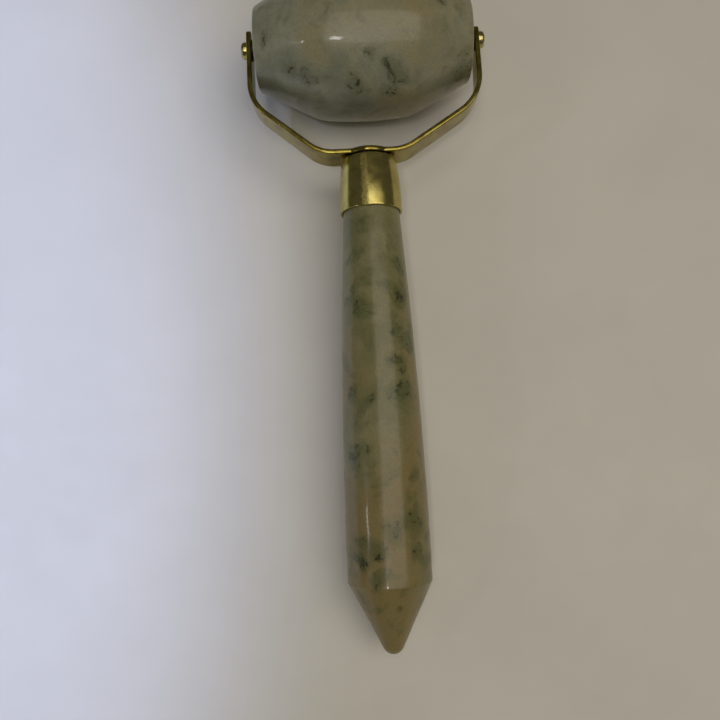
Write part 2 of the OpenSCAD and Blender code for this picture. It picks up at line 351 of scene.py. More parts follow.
def lay_down(points, plan):
    """Takes points from the fork's own frame to the floor's: turned about X, then raised."""
    x, y, z = np.moveaxis(np.asarray(points, float), -1, 0)
    c, s = math.cos(plan.tilt), math.sin(plan.tilt)
    return np.stack((x, y*c - z*s, y*s + z*c + plan.axle.z), -1)


def hand_ground(depth, span, waves, weight):
    """How far hand grinding strays inwards at distance d and angle t round the stone.

    It is depth times the share, from 0 to 1, of a sum of waves: each (strength, turns, cycles,
    shift) gives strength sin(turns t + 2 pi cycles d / span + shift). weight(d, r) fades it out.
    """
    total = sum(strength for strength, *_ in waves)

    def inwards(d, r, t):
        height = sum(strength*np.sin(turns*t + 2*np.pi*cycles*d/span + shift)
                     for strength, turns, cycles, shift in waves)
        return depth*weight(d, r)*(1 - height/total)/2

    return inwards


def layout(settings):
    """Distances along the axle and down the handle, worked out from the frame and the sizes."""
    fork, ferrule, handle = settings.fork, settings.ferrule, settings.handle
    low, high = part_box("roller_stone")
    plan = SimpleNamespace(axle=Vector(frame["joints"][0]["pos_m"]))
    plan.roller_r = (high.z - low.z)/2
    plan.half_length = (high.x - low.x)/2
    plan.arm_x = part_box("washer_right")[1].x
    plan.hub_y = plan.roller_r + fork.hub_gap
    plan.ferrule_y = plan.hub_y + fork.strip_thickness
    plan.point_z = ferrule.length + handle.length
    plan.point_r = handle.diameter/2
    plan.neck_r = ferrule.rim_diameter/2 - ferrule.wall - handle.glue_gap
    tip = (0, handle.point_length - handle.tip_radius)
    plan.cone_angle = touch((plan.point_r, 0), tip, handle.tip_radius)
    plan.edge_z = plan.point_z - handle.edge_radius*math.tan(math.radians(plan.cone_angle/2))
    plan.edge_r = plan.point_r - handle.edge_radius
    edge_y = plan.ferrule_y + plan.edge_z
    rise = (plan.roller_r - handle.edge_radius)/math.hypot(edge_y, plan.edge_r)
    plan.tilt = math.asin(rise) - math.atan(plan.edge_r/edge_y)
    return plan


# ---- stones ---------------------------------------------------------------------------------

# Waves of hand grinding on the stones, each (strength, turns round, cycles along, shift)
ROLLER_WAVES = (
    (1.0, 2, 1, 0.4), (0.9, 5, -2, 1.7), (0.7, 7, 3, 4.1), (0.6, 11, -1, 2.6), (0.5, 4, 5, 5.2))
HANDLE_WAVES = (
    (1.0, 2, 1, 2.0), (0.9, 3, -4, 0.7), (0.8, 5, 7, 3.9), (0.6, 6, -9, 5.5), (0.4, 9, 12, 1.1))

# Where flecks gather in the stones, each (x, y, z, reach) in millimetres
ROLLER_FLECKS = (
    (-21, -3, 26, 2.5), (-15, -11, 24, 3), (-12, -12, 24, 3), (-3, -14, 25, 3), (5, -15, 23, 3.5),
    (2, -11, 29, 2.5), (7, -13, 26, 3), (15, 1, 29, 3), (21, -10, 20, 4))
HANDLE_FLECKS = (
    (3, -49, 20, 2), (5, -53, 18, 3), (5, -60, 18, 3.5), (-3, -62, 20, 3.5), (6, -70, 17, 4.5),
    (3, -76, 19, 3.5), (4, -81, 19, 4), (-6, -79, 17, 3), (-3, -82, 19, 2.5), (5, -97, 18, 3),
    (5, -107, 17, 4), (1, -108, 18, 4), (-4, -111, 17, 3.5), (5, -112, 17, 3), (-6, -114, 16, 3),
    (-2, -117, 18, 3), (3, -124, 14, 2))


def roller_outline(sizes, bore_r, plan):
    """Closed outline of the roller, as [distance along the axle, radius].

    Half of it is a crown arc, a shoulder arc tangent to it, a straight shoulder that touches that
    arc, a rounded edge, the flat end and the bore. The other half mirrors it.
    """
    half_crown, drop = sizes.crown_length/2, sizes.crown_drop
    crown_r = (half_crown**2 + drop**2)/(2*drop)
    lean = math.degrees(math.asin(half_crown/crown_r))
    shoulder = np.array((half_crown, plan.roller_r - drop)) - sizes.shoulder_radius*np.array(
        (math.sin(math.radians(lean)), math.cos(math.radians(lean))))
    end_r, edge = sizes.end_diameter/2, sizes.edge_radius
    slope = touch((plan.half_length, end_r), shoulder, sizes.shoulder_radius)
    turn = math.radians(slope)
    corner = np.array((plan.half_length - edge, end_r - edge*(1 - math.cos(turn))/math.sin(turn)))
    direction = np.array((math.cos(turn), math.sin(turn)))
    mouth = sizes.bore_edge
    half = joined(
        arc((0, plan.roller_r - crown_r), crown_r, 90, 90 - lean, 18),
        arc(shoulder, sizes.shoulder_radius, 90 - lean, slope, 24),
        straight(shoulder + sizes.shoulder_radius*direction, corner + edge*direction, 22),
        arc(corner, edge, slope, 0, 12),
        straight((plan.half_length, corner[1]), (plan.half_length, bore_r + mouth), 12),
        arc((plan.half_length - mouth, bore_r + mouth), mouth, 0, -90, 5),
        straight((plan.half_length - mouth, bore_r), (0, bore_r), 10),
    )
    return np.vstack((half, (half*(-1, 1))[-2:0:-1]))


def handle_outline(sizes, ferrule, plan):
    """Outline of the handle, as [distance below the ferrule's top, radius].

    Inside the ferrule it follows the wall. Then, at share u of the way to the point's edge, its
    radius is point_r - (point_r - neck_r)(1 - u)^2. A rounded edge, a cone and a blunt tip end it.
    """
    inset = ferrule.wall + sizes.glue_gap
    start = ferrule.length - sizes.spigot_length
    chamfer = sizes.spigot_chamfer
    spigot = np.linspace(start + chamfer, ferrule.length, 16)
    u = np.linspace(0, 1, 150)
    body_r = plan.point_r - (plan.point_r - plan.neck_r)*(1 - u)**2
    body_z = ferrule.length + (plan.edge_z - ferrule.length)*u
    turn = np.radians(plan.cone_angle)
    direction = np.array((math.sin(turn), math.cos(turn)))
    edge = np.array((plan.edge_z, plan.edge_r))
    tip = np.array((plan.point_z + sizes.point_length - sizes.tip_radius, 0))
    return joined(
        [(start, 0)],
        straight((start, ferrule_r(ferrule, start) - inset - chamfer - 2*MM),
                 (start, ferrule_r(ferrule, start) - inset - chamfer), 4),
        np.column_stack((spigot, ferrule_r(ferrule, spigot) - inset)),
        np.column_stack((body_z, body_r)),
        arc(edge, sizes.edge_radius, 90, 90 - plan.cone_angle, 8),
        straight(edge + sizes.edge_radius*direction, tip + sizes.tip_radius*direction, 36),
        arc(tip, sizes.tip_radius, 90 - plan.cone_angle, 0, 18)[:-1],
        [(tip[0] + sizes.tip_radius, 0)],
    )


# ---- brass ----------------------------------------------------------------------------------


def ferrule_r(sizes, z):
    """Outside radius at depth z: rim_r - (rim_r - top_r) ((L - z)/(L - side))^bell."""
    side = sizes.dome + sizes.edge_radius
    share = np.clip((sizes.length - z)/(sizes.length - side), 0, None)
    rim_r = sizes.rim_diameter/2
    return rim_r - (rim_r - sizes.top_diameter/2)*share**sizes.bell


def ferrule_outline(sizes, hole_r):
    """Closed outline of the ferrule, as [distance below its top, radius].

    The top is a flat land, then drops by dome u^2 to a rounded edge; the side bells out to a
    rounded rim, and the inside follows it one wall further in.
    """
    land_r, edge, lip = sizes.land_diameter/2, sizes.edge_radius, sizes.rim_radius
    dome_w = sizes.top_diameter/2 - edge - land_r
    u = np.linspace(0, 1, 16)
    side = np.linspace(sizes.dome + edge, sizes.length - lip, 60)
    inner = side[::-1][side[::-1] > sizes.top_thickness]
    rim_r = float(ferrule_r(sizes, side[-1]))
    return joined(
        straight((0, hole_r), (0, land_r), 6),
        np.column_stack((sizes.dome*u**2, land_r + dome_w*u)),
        arc((sizes.dome + edge, sizes.top_diameter/2 - edge), edge, 150, 90, 8),
        np.column_stack((side, ferrule_r(sizes, side))),
        arc((side[-1], rim_r - lip), lip, 90, 0, 6),
        arc((side[-1], rim_r - sizes.wall + lip), lip, 0, -90, 6),
        np.column_stack((inner, ferrule_r(sizes, inner) - sizes.wall)),
        straight((sizes.top_thickness, ferrule_r(sizes, sizes.top_thickness) - sizes.wall),
                 (sizes.top_thickness, hole_r), 10),
        straight((sizes.top_thickness, hole_r), (0, hole_r), 4),
    )[:-1]


def pin_outline(sizes, start, arm_out, head_r, head_end):
    """Outline of an axle pin, as [distance along the axle, radius]: a chamfered shank, then a
    head whose outer edge is rounded."""
    r, chamfer, edge = sizes.pin_diameter/2, sizes.pin_chamfer, sizes.head_edge
    fine = sizes.fine_edge
    return joined(
        [(start, 0)],
        straight((start, 0.1*r), (start, r - chamfer), 4),
        straight((start + chamfer, r), (arm_out, r), 10),
        straight((arm_out, r), (arm_out, head_r - fine), 6),
        arc((arm_out + fine, head_r - fine), fine, 180, 90, 4),
        arc((head_end - edge, head_r - edge), edge, 90, 0, 14),
        straight((head_end, head_r - edge), (head_end, 0.05*r), 8),
        [(head_end, 0)],
    )


def rivet_outline(fork, ferrule):
    """Outline of the hub rivet, as [distance below the hub's upper face, radius]: a domed head,
    the shank, and the end closed over its washer."""
    head_r, dome = fork.rivet_head/2, fork.rivet_dome
    dome_r = (head_r**2 + dome**2)/(2*dome)
    spread = math.degrees(math.asin(head_r/dome_r))
    r, tail_r = fork.rivet_diameter/2, fork.rivet_tail/2
    under = fork.strip_thickness + ferrule.top_thickness + fork.burr_thickness
    half = fork.rivet_tail_height/2
    return joined(
        arc((dome_r - dome, 0), dome_r, 180, 180 - spread, 16),
        straight((0, head_r), (0, r), 5),
        straight((0, r), (under, r), 8),
        straight((under, r), (under, tail_r), 4),
        straight((under, tail_r), (under + half, tail_r), 3),
        arc((under + half, tail_r - half), half, 90, 0, 6),
        [(under + 2*half, 0)],
    )


def arm_line(flat, slope, bend, tail, fork, plan):
    """Middle line of an arm from the hub's centre to its free end, in the fork's own plane.

    It runs flat, turns up by the slope with radius hub_bend, climbs straight, turns upright with
    the arm's own radius, and ends a tail beyond the axle.
    """
    half, lean = fork.strip_thickness/2, math.degrees(slope)
    rise = (plan.arm_x - flat - fork.hub_bend*math.sin(slope)
            - bend*(1 - math.sin(slope)))*math.tan(slope)
    upright = plan.hub_y - fork.hub_bend*(1 - math.cos(slope)) - rise - bend*math.cos(slope)
    lower = arc((flat, fork.hub_bend), fork.hub_bend + half, -90, lean - 90, 24)
    upper = arc((plan.arm_x - bend, plan.hub_y - upright), bend + half, lean - 90, 0, 30)
    end = np.array((plan.arm_x + half, plan.hub_y + tail))
    # The last stretch is taken closely, because the end's corners are rounded there
    shoulder = end - (0, fork.corner_radius)
    corner = end - fork.corner_radius*np.column_stack(
        (np.zeros(20), np.cos(np.linspace(0, np.pi/2, 20))))
    return joined(
        np.linspace((0, -half), (flat, -half), 70), lower,
        np.linspace(lower[-1], upper[0], 16), upper,
        np.linspace(upper[-1], shoulder, 10), corner)


def fork_surface(name, fork, plan):
    """The fork as one surface: a rounded section carried along both arms' middle line.

    The strip narrows evenly, as it rises from the hub, from strip_width to end_width. Beside the
    hub's centre the section is as wide as the hub's circle, 2 sqrt(R^2 - s^2) at distance s. At
    distance e from a free end its half width is less by c - sqrt(c^2 - (c - e)^2), where c is the
    corner radius.
    """
    right = arm_line(fork.right_flat, fork.right_slope, fork.right_bend, fork.right_tail,
                     fork, plan)
    left = arm_line(fork.left_flat, fork.left_slope, fork.left_bend, fork.left_tail, fork, plan)
    line = np.vstack(((left*(-1, 1))[:0:-1], right))
    step = np.linalg.norm(np.diff(line, axis=0), axis=1)
    s = np.concatenate(([0], np.cumsum(step)))
    s = s - s[len(left) - 1]
    along = np.gradient(line, axis=0)
    along = along/np.linalg.norm(along, axis=1, keepdims=True)
    across = np.column_stack((-along[:, 1], along[:, 0]))

    rise = np.where(s < 0, line[0, 1], line[-1, 1])
    strip = (fork.strip_width - (fork.strip_width - fork.end_width)*line[:, 1]/rise)/2
    hub_r = fork.hub_diameter/2
    disc = np.sqrt(np.clip(hub_r**2 - s**2, 0, None))
    width = (disc + strip + np.sqrt((disc - strip)**2 + fork.hub_fillet**2))/2
    width = np.where(np.abs(s) < 1.5*hub_r, width, strip)
    from_end = np.minimum(s - s[0], s[-1] - s)

    def lost(radius):
        """What a quarter circle takes off at each place's distance from the free end."""
        short = np.clip(radius - from_end, 0, None)
        return radius - np.sqrt(np.clip(radius**2 - short**2, 0, None))

    edge = fork.strip_edge
    half_width = width - lost(fork.corner_radius)
    half_depth = fork.strip_thickness/2 - lost(edge)
    # A trace of the rounding stays at the very ends, so that no two points coincide there
    soft = np.maximum(edge - lost(edge), 0.05*edge)

    # The section: four rounded corners, with close points beside each to keep the faces flat
    a = np.radians(np.concatenate([np.linspace(q, q + 90, 7) for q in (0, 90, 180, 270)]))
    side_u = np.repeat((1, -1, -1, 1), 7)
    side_v = np.repeat((1, 1, -1, -1), 7)
    u = side_u*(half_width - soft)[:, None] + np.cos(a)*soft[:, None]
    v = side_v*(half_depth - soft)[:, None] + np.sin(a)*soft[:, None]
    near = 0.88
    corners, places = [6, 7, 20, 21], [7, 7, 21, 21]
    u = np.insert(u, places, near*u[:, corners], axis=1)
    v = np.insert(v, places, v[:, corners], axis=1)

    section = line[:, None, :] + v[:, :, None]*across[:, None, :]
    grid = np.concatenate((section, u[:, :, None]), -1) - (0, plan.hub_y, 0)
    ends = np.column_stack((line[[0, -1]], (0, 0))) - (0, plan.hub_y, 0)
    notes = np.stack(np.broadcast_arrays(s[:, None], u, v), -1).reshape(-1, 3)
    notes = np.vstack((notes, (s[0], 0, 0), (s[-1], 0, 0)))/MM
    return skin(name, lay_down(grid, plan), *lay_down(ends, plan), notes={"strip": notes})


# ---- materials ------------------------------------------------------------------------------


def add(tree, kind, inputs=None, **values):
    """Adds a node, sets its values, and fills its inputs with numbers or other nodes' outputs."""
    node = tree.nodes.new(kind)
    for key, value in values.items():
        setattr(node, key, value)
    for key, value in (inputs or {}).items():
        if isinstance(value, bpy.types.NodeSocket):
            tree.links.new(value, node.inputs[key])
        else:
            node.inputs[key].default_value = value
    return node


def new_material(name, **shader_inputs):
    """A material with one principled shader, whose constants are set on its own sockets."""
    material = bpy.data.materials.new(name)
    material.use_nodes = True
    tree = material.node_tree
    tree.nodes.clear()
    shader = add(tree, "ShaderNodeBsdfPrincipled",
                 {key.replace("_", " "): value for key, value in shader_inputs.items()})
    add(tree, "ShaderNodeOutputMaterial", {"Surface": shader.outputs[0]})
    return material, tree, shader


def noise(tree, place, grain, detail=3.0, rough=0.5, colour=False):
    """Noise whose lumps are about grain millimetres across, on a place in millimetres."""
    node = add(tree, "ShaderNodeTexNoise", {
        "Vector": place, "Scale": 1/grain, "Detail": detail, "Roughness": rough})
    return node.outputs[1 if colour else 0]


def ramp(tree, value, low, high, start=0.0, end=1.0):
    """start below low and end above high, with a smooth step between them."""
    return add(tree, "ShaderNodeMapRange", {
        0: value, 1: low, 2: high, 3: start, 4: end}, interpolation_type="SMOOTHSTEP").outputs[0]


def blend(tree, share, first, second, mode="MIX"):
    """One colour blended into another."""
    return add(tree, "ShaderNodeMix", {0: share, 6: first, 7: second},
               data_type="RGBA", blend_type=mode).outputs[2]


def sums(tree, operation, *values):
    """A sum, product or other operation on numbers."""
    return add(tree, "ShaderNodeMath", dict(enumerate(values)), operation=operation).outputs[0]


def millimetres(tree, turn=0.0):
    """The place on the piece in millimetres, turned about X."""
    place = add(tree, "ShaderNodeTexCoord").outputs["Object"]
    return add(tree, "ShaderNodeMapping", {
        "Vector": place, "Rotation": (turn, 0, 0), "Scale": (1/MM,)*3}).outputs[0]


def nephrite(name, body, cloud, warm, deep, fleck, stain_and_light_from, gatherings):
    """Nephrite jade, ground round and tumbled: felted fibres under a thin, clean polish.

    Light goes a little way in and comes back cloudy, so the ground drifts between greens, iron
    stains warm it, and green-black flecks gather in places, which gatherings lists.
    stain_and_light_from is (axis, from, to): the warm colour grows along that axis between two
    places in millimetres. On the roller, along X, that growth is partly real iron staining and
    partly painted warm light on the side where the warm ceiling light falls. A thin wax coat gives
    sharp small highlights over the softer sheen of the stone itself.
    """
    material, tree, shader = new_material(
        name, IOR=1.61, Subsurface_Weight=0.35, Subsurface_Radius=(1.0, 0.95, 0.6),
        Subsurface_Scale=1.6*MM, Specular_IOR_Level=0.24, Coat_Weight=0.3,
        Coat_Roughness=0.07, Coat_IOR=1.44)
    place = millimetres(tree)
    wander = noise(tree, place, 9, 2, colour=True)
    centred = add(tree, "ShaderNodeVectorMath", {0: wander, 1: (0.5, 0.5, 0.5)},
                  operation="SUBTRACT").outputs[0]
    drifted = add(tree, "ShaderNodeVectorMath", {0: centred, 1: (9, 9, 9), 2: place},
                  operation="MULTIPLY_ADD").outputs[0]
    clouds = ramp(tree, noise(tree, drifted, 8, 5, 0.6), 0.36, 0.66)
    ground = blend(tree, clouds, body, cloud)

    # Partly painted warm light: the roller's warm colour leans to its lit +X end, besides real
    # staining
    across = add(tree, "ShaderNodeSeparateXYZ", {0: place}).outputs[stain_and_light_from[0]]
    lean = add(tree, "ShaderNodeMapRange", {
        0: across, 1: stain_and_light_from[1], 2: stain_and_light_from[2], 3: -0.1, 4: 0.22}).outputs[0]
    stain_and_warm_light = ramp(tree, sums(tree, "ADD", noise(tree, drifted, 16, 3), lean), 0.42, 0.72)
    ground = blend(tree, stain_and_warm_light, ground, warm)
    drifts = ramp(tree, noise(tree, drifted, 5, 4, 0.6), 0.5, 0.78, 0.0, 0.75)
    ground = blend(tree, drifts, ground, deep)

    gather = ramp(tree, noise(tree, place, 7, 2), 0.6, 0.74, 0.0, 0.75)
    for x, y, z, reach in gatherings:
        away = add(tree, "ShaderNodeVectorMath", {0: drifted, 1: (x, y, z)},
                   operation="DISTANCE").outputs["Value"]
        gather = sums(tree, "MAXIMUM", gather, ramp(tree, away, 0.3*reach, reach, 1.0, 0.0))
    clumps = ramp(tree, noise(tree, drifted, 1.5, 4, 0.65), 0.5, 0.66)
    flecks = sums(tree, "MULTIPLY", gather, clumps)
    haze = sums(tree, "MULTIPLY", gather, 0.6)
    ground = blend(tree, haze, ground, deep)
    ground = blend(tree, sums(tree, "MULTIPLY", flecks, 0.85), ground, fleck)

    # Felted fibres, about 0.4 mm, show as a faint grain
    grain = ramp(tree, noise(tree, place, 0.4, 4, 0.6), 0.3, 0.7, 0.9, 1.08)
    ground = blend(tree, 1.0, ground, grain, "MULTIPLY")
    tree.links.new(ground, shader.inputs["Base Color"])

    smears = ramp(tree, noise(tree, drifted, 4, 4), 0.35, 0.7, 0.28, 0.4)
    tree.links.new(smears, shader.inputs["Roughness"])
    polish = noise(tree, place, 2.2, 3)
    pits = sums(tree, "MULTIPLY", flecks, -0.4)
    height = sums(tree, "ADD", polish, pits)
    bump = add(tree, "ShaderNodeBump", {"Height": height, "Distance": 0.02*MM, "Strength": 1.0})
    tree.links.new(bump.outputs[0], shader.inputs["Normal"])
    return material


def worked_brass(name, bright, brown, turn, stretch, aged, strip=False, worn=None):
    """Brass, polished after bending or drawing, then handled: bright with fine lines from the
    buff, brown where hands and cloth don't reach, and pitted where it was rubbed thin.

    stretch is how many times longer than wide the buffing lines are along X, Y and Z. aged is how
    brown the dullest patches have gone. worn is (middle, reach) along X, in millimetres, of a
    band on the upper side that is rubbed and pitted. A strip takes its place from its own lengths.
    """
    material, tree, shader = new_material(name, Metallic=1.0)
    if strip:
        place = add(tree, "ShaderNodeAttribute", attribute_name="strip").outputs["Vector"]
    else:
        place = millimetres(tree, turn)
    lines_at = add(tree, "ShaderNodeVectorMath", {0: place, 1: stretch},
                   operation="DIVIDE").outputs[0]
    # Buffing lines are about 0.05 mm apart; they are drawn at 0.16 mm so that they show
    lines = noise(tree, lines_at, 0.16, 3, 0.6)
    age = ramp(tree, noise(tree, place, 3.5, 5, 0.62), 0.42, 0.68, 0.0, aged)
    ground = blend(tree, age, bright, brown)
    shine = ramp(tree, noise(tree, place, 1.6, 4), 0.3, 0.7, 0.14, 0.24)
    height = sums(tree, "MULTIPLY", lines, 0.35)
    if worn:
        x, _, z = add(tree, "ShaderNodeSeparateXYZ", {0: place}).outputs
        middle, reach = worn
        off = sums(tree, "ABSOLUTE", sums(tree, "SUBTRACT", x, middle))
        band = sums(tree, "MULTIPLY", ramp(tree, off, 0.2*reach, reach, 1.0, 0.0),
                    ramp(tree, z, 0.0, 3.0))
        pits = ramp(tree, noise(tree, place, 0.5, 3, 0.7), 0.54, 0.64)
        pits = sums(tree, "MULTIPLY", pits, band)
        ground = blend(tree, sums(tree, "MULTIPLY", pits, 0.8), ground, brown)
        shine = sums(tree, "ADD", shine, sums(tree, "MULTIPLY", band, 0.12))
        height = sums(tree, "SUBTRACT", height, sums(tree, "MULTIPLY", pits, 2.5))
    tree.links.new(ground, shader.inputs["Base Color"])
    tree.links.new(shine, shader.inputs["Roughness"])
    bump = add(tree, "ShaderNodeBump", {"Height": height, "Distance": 0.012*MM})
    tree.links.new(bump.outputs[0], shader.inputs["Normal"])
    return material


def turned_brass(name, colours):
    """Brass pins and rivets, turned and then peened: bright, with fine rings and small dents."""
    material, tree, shader = new_material(name, Metallic=1.0)
    place = millimetres(tree)
    age = ramp(tree, noise(tree, place, 0.9, 4), 0.45, 0.7, 0.0, 0.6)
    tree.links.new(blend(tree, age, colours.pin_brass, colours.tarnish),
                   shader.inputs["Base Color"])
    tree.links.new(ramp(tree, noise(tree, place, 0.6, 3), 0.3, 0.7, 0.16, 0.32),
                   shader.inputs["Roughness"])
    bump = add(tree, "ShaderNodeBump", {
        "Height": noise(tree, place, 0.7, 2), "Distance": 0.05*MM})
    tree.links.new(bump.outputs[0], shader.inputs["Normal"])
    return material


def moulded(name, colour, roughness, grain, glow=0.0):
    """Moulded nylon or cast resin: even in colour, with a fine grain that dulls its gloss."""
    material, tree, shader = new_material(
        name, IOR=1.53, Subsurface_Weight=glow, Subsurface_Scale=0.5*MM)
    place = millimetres(tree)
    shade = ramp(tree, noise(tree, place, grain, 3), 0.3, 0.7, 0.86, 1.06)
    tree.links.new(blend(tree, 1.0, colour, shade, "MULTIPLY"), shader.inputs["Base Color"])
    tree.links.new(ramp(tree, noise(tree, place, 2*grain, 2), 0.3, 0.7, roughness - 0.06,
                        roughness + 0.08), shader.inputs["Roughness"])
    bump = add(tree, "ShaderNodeBump", {
        "Height": noise(tree, place, grain/2, 3), "Distance": 0.006*MM})
    tree.links.new(bump.outputs[0], shader.inputs["Normal"])
    return material


def matt_board(name, colour):
    """A coated board floor: pale, matt and nearly even, with a faint eggshell surface."""
    material, tree, shader = new_material(name, IOR=1.45)
    place = millimetres(tree)
    shade = ramp(tree, noise(tree, place, 40, 4), 0.3, 0.7, 0.97, 1.02)
    tree.links.new(blend(tree, 1.0, colour, shade, "MULTIPLY"), shader.inputs["Base Color"])
    tree.links.new(ramp(tree, noise(tree, place, 6, 3), 0.3, 0.7, 0.55, 0.68),
                   shader.inputs["Roughness"])
    bump = add(tree, "ShaderNodeBump", {"Height": noise(tree, place, 1.5, 3),
                                        "Distance": 0.01*MM})
    tree.links.new(bump.outputs[0], shader.inputs["Normal"])
    return material


def fit(piece, material, body, slot, *nodes):
    """Gives a piece its material and its moving body, and hides the CAD nodes it stands for. slot
    is not used.
    """
    piece.data.materials.append(material)
    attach(piece, body)
    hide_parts(*nodes)


# ---- operators ------------------------------------------------------------------------------


class FACEROLLER_OT_roller(bpy.types.Operator):
    """Make the barrel-shaped jade roller"""

    bl_idname = "face_roller.roller"
    bl_label = "Jade Roller"

    def execute(self, context):
        settings = context.scene.face_roller
        sizes, c, plan = settings.roller, settings.colours, layout(settings)
        low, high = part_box("bush_right")
        outline = roller_outline(sizes, (high.z - low.z)/2, plan)
        end_r = sizes.end_diameter/2
        uneven = hand_ground(sizes.unevenness, 2*plan.half_length, ROLLER_WAVES,
                             lambda d, r: np.clip((r - end_r)/(plan.roller_r - end_r), 0, 1))
        piece = turned("ground_jade_roller", outline, along_axle(1, plan.axle), 256, uneven)
        # The warm colour towards +X is partly iron staining and partly painted warm light from the
        # right
        jade = nephrite(
            "Grey-green nephrite", c.roller_body, c.roller_cloud, c.roller_stain_and_warm_light, c.roller_deep,
            c.fleck, ("X", -20, 26), ROLLER_FLECKS)
        fit(piece, jade, "roller", "jade_roller", "roller_stone")
        return {"FINISHED"}


class FACEROLLER_OT_fittings(bpy.types.Operator):
    """Make the axle pins, the bushes and the washers on both sides"""

    bl_idname = "face_roller.fittings"
    bl_label = "Axle Fittings"

    def execute(self, context):
        settings = context.scene.face_roller
        sizes, c, plan = settings.fittings, settings.colours, layout(settings)
        brass = turned_brass("Peened brass", c)
        # Painted shade: the washers' near-black colour stands in for the shadowed gap beside each
        # roller end
        painted_shade_washer_nylon = moulded("Shade-painted nylon", c.washer, 0.42, 0.3)
        pale = moulded("Natural nylon", c.bush, 0.38, 0.4, glow=0.3)
        pin_r = sizes.pin_diameter/2
        for side, word in ((-1, "left"), (1, "right")):
            place = along_axle(side, plan.axle)
            low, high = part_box(f"axle_pin_{word}")
            start, end = sorted((side*low.x, side*high.x))
            outline = pin_outline(sizes, start, plan.arm_x + settings.fork.strip_thickness,
                                  (high.z - low.z)/2, end)
            pin = turned(f"peened_pin_{word}", outline, place, 96)
            fit(pin, brass, "frame", "brass_hardware", f"axle_pin_{word}")
            for node, name, clearance, material, body, slot in (
                    ("bush", "nylon_bush", sizes.pin_clearance, pale, "roller", "bush"),
                    ("washer", "nylon_washer", sizes.washer_clearance, painted_shade_washer_nylon, "frame", "washer")):
                low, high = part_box(f"{node}_{word}")
                start, end = sorted((side*low.x, side*high.x))
                outline = rounded_tube(start, end, pin_r + clearance, (high.z - low.z)/2,
                                       sizes.fine_edge)
                piece = turned(f"{name}_{word}", outline, place, 96)
                fit(piece, material, body, slot, f"{node}_{word}")
        return {"FINISHED"}


class FACEROLLER_OT_fork(bpy.types.Operator):
    """Make the bent brass fork and the rivet through its hub"""

    bl_idname = "face_roller.fork"
    bl_label = "Brass Fork"

    def execute(self, context):
        settings = context.scene.face_roller
        sizes, c, plan = settings.fork, settings.colours, layout(settings)
        fork = fork_surface("bent_brass_fork", sizes, plan)
        brass = worked_brass("Buffed brass strip", c.strip_brass, c.tarnish, 0.0, (14, 1, 1), 0.9,
                             strip=True)
        fit(fork, brass, "frame", "brass", "fork")
        rivet = turned("domed_hub_rivet", rivet_outline(sizes, settings.ferrule),
                       along_handle(plan.hub_y, plan), 96)
        fit(rivet, turned_brass("Domed rivet brass", c), "frame", "brass_hardware", "hub_rivet")
        return {"FINISHED"}


class FACEROLLER_OT_ferrule(bpy.types.Operator):
    """Make the drawn brass ferrule"""

    bl_idname = "face_roller.ferrule"
    bl_label = "Brass Ferrule"

    def execute(self, context):
        settings = context.scene.face_roller
        plan = layout(settings)
        outline = ferrule_outline(settings.ferrule, settings.fork.rivet_diameter/2)
        piece = turned("drawn_brass_ferrule", outline, along_handle(plan.ferrule_y, plan), 192)
        c = settings.colours
        brass = worked_brass("Buffed brass ferrule", c.brass, c.tarnish, -plan.tilt, (9, 1, 9),
                             0.35, worn=(-1.3, 1.1))
        fit(piece, brass, "frame", "brass", "ferrule")
        return {"FINISHED"}


class FACEROLLER_OT_handle(bpy.types.Operator):
    """Make the tapered jade handle with its blunt point"""

    bl_idname = "face_roller.handle"
    bl_label = "Jade Handle"

    def execute(self, context):
        settings = context.scene.face_roller
        sizes, c, plan = settings.handle, settings.colours, layout(settings)
        rim = settings.ferrule.length
        uneven = hand_ground(
            sizes.unevenness, sizes.length, HANDLE_WAVES,
            lambda d, r: np.clip((d - rim)/(6*MM), 0, 1)*np.clip(r/(8*MM), 0, 1))
        piece = turned("ground_jade_handle", handle_outline(sizes, settings.ferrule, plan),
                       along_handle(plan.ferrule_y, plan), 224, uneven)
        jade = nephrite(
            "Olive nephrite", c.handle_body, c.handle_cloud, c.handle_warm, c.handle_deep,
            c.fleck, ("Y", -40, -110), HANDLE_FLECKS)
        fit(piece, jade, "frame", "jade_handle", "handle_stone")
        return {"FINISHED"}


class FACEROLLER_OT_hidden_pieces(bpy.types.Operator):
    """Finish the rivet's washer and the adhesive, which the frame already shapes"""

    bl_idname = "face_roller.hidden_pieces"
    bl_label = "Hidden Pieces"

    def execute(self, context):
        c = context.scene.face_roller.colours
        for node, material in (
                ("rivet_burr", turned_brass("Stamped washer brass", c)),
                ("handle_adhesive", moulded("Cured resin", c.adhesive, 0.3, 0.8, glow=0.4))):
            materials = frame["nodes"][node].data.materials
            materials.clear()
            materials.append(material)
        return {"FINISHED"}


def aim(thing, place, target, roll=0.0):
    """Puts a light or camera at a place, looking at a target, turned about its view by roll."""
    look = (Vector(target) - Vector(place)).to_track_quat("-Z", "Y")
    thing.matrix_world = Matrix.Translation(place) @ (
        look.to_matrix().to_4x4() @ Matrix.Rotation(roll, 4, "Z"))


def lamp(scene, name, kind, colour, watts, place, target, **shape):
    """Adds a light of some kind and shape at a place, aimed at a target."""
    data = bpy.data.lights.new(name, kind)
    data.color, data.energy = linear(colour)[:3], watts
    for key, value in shape.items():
        setattr(data, key, value)
    light = bpy.data.objects.new(name, data)
    scene.collection.objects.link(light)
    aim(light, place, target)


# Area lights as (name, colour, watts, width, height, place, target), in metres
PANELS = (
    ("ceiling_panel", "#fff7e6", 2.9, 0.9, 0.6, (0.30, -0.10, 0.75), (0.30, -0.10, 0.0)),
    ("small_lamp", "#ffffff", 2.0, 0.14, 0.14, (-0.29, -0.72, 1.90), (0.0, 0.0, 0.016)),
    ("far_lamp", "#ffffff", 0.9, 0.12, 0.17, (-1.62, -0.37, 1.11), (0.0, 0.0, 0.016)),
)


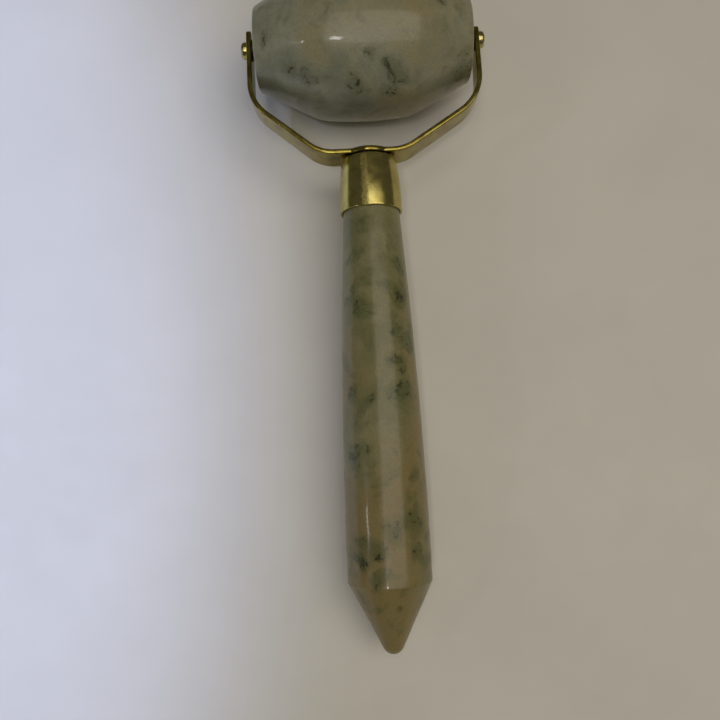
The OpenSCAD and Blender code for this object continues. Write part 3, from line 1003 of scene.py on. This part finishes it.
class FACEROLLER_OT_stage(bpy.types.Operator):
    """Set the floor, the lights and the camera"""

    bl_idname = "face_roller.stage"
    bl_label = "Stage"

    def execute(self, context):
        settings = context.scene.face_roller
        stage = settings.stage
        half = 1.5
        corners = [(-half, -half, 0), (half, -half, 0), (half, half, 0), (-half, half, 0)]
        mesh = bpy.data.meshes.new("pale_floor")
        mesh.from_pydata(corners, [], [(0, 1, 2, 3)])
        mesh.materials.append(matt_board("Pale board", settings.colours.floor))
        floor = bpy.data.objects.new("pale_floor", mesh)
        context.scene.collection.objects.link(floor)

        for name, colour, watts, width, height, place, target in PANELS:
            lamp(context.scene, name, "AREA", colour, watts, place, target,
                 shape="RECTANGLE", size=width, size_y=height)
        # Cool daylight falls on the floor to the left and fades out under the roller and handle
        lamp(context.scene, "daylight", "SPOT", "#bccdff", 9.0, (-0.32, -0.07, 0.50),
             (-0.32, -0.07, 0.0), spot_size=math.radians(65.2), spot_blend=0.3,
             shadow_soft_size=0.01)

        world = bpy.data.worlds.new("dim_room")
        world.use_nodes = True
        sky = world.node_tree.nodes["Background"]
        sky.inputs["Color"].default_value = linear("#b9b4a8")
        sky.inputs["Strength"].default_value = 0.17
        context.scene.world = world
        context.scene.view_settings.view_transform = "Standard"

        data = bpy.data.cameras.new("camera")
        data.lens, data.sensor_width = 36, 36
        data.clip_start, data.clip_end = 0.005, 10
        camera = bpy.data.objects.new("camera", data)
        context.scene.collection.objects.link(camera)
        aim(camera, stage.camera_place, stage.camera_aim, stage.camera_roll)
        context.scene.camera = camera
        return {"FINISHED"}


OPERATORS = (
    FACEROLLER_OT_roller, FACEROLLER_OT_fittings, FACEROLLER_OT_fork, FACEROLLER_OT_ferrule,
    FACEROLLER_OT_handle, FACEROLLER_OT_hidden_pieces, FACEROLLER_OT_stage)


class FACEROLLER_PT_panel(bpy.types.Panel):
    """The face roller's settings and operators, in the 3D view's sidebar"""

    bl_idname = "FACEROLLER_PT_panel"
    bl_label = "Face Roller"
    bl_space_type = "VIEW_3D"
    bl_region_type = "UI"
    bl_category = "Face Roller"

    def draw(self, context):
        settings = context.scene.face_roller
        for group in settings.bl_rna.properties.keys()[2:]:
            box = self.layout.box()
            box.label(text=group.capitalize())
            sizes = getattr(settings, group)
            for size in sizes.bl_rna.properties.keys()[2:]:
                box.prop(sizes, size)
        for operator in OPERATORS:
            self.layout.operator(operator.bl_idname)


CLASSES = (
    RollerSizes, FittingSizes, ForkSizes, FerruleSizes, HandleSizes, Colours, StageSettings,
    FaceRollerSettings, *OPERATORS, FACEROLLER_PT_panel)


def register():
    for each in CLASSES:
        bpy.utils.register_class(each)
    bpy.types.Scene.face_roller = PointerProperty(type=FaceRollerSettings)


def unregister():
    del bpy.types.Scene.face_roller
    for each in reversed(CLASSES):
        bpy.utils.unregister_class(each)


def main():
    """Builds the whole face roller."""
    register()
    make = bpy.ops.face_roller
    make.roller()
    make.fittings()
    make.fork()
    make.ferrule()
    make.handle()
    make.hidden_pieces()
    make.stage()


if __name__ == "__main__":
    main()
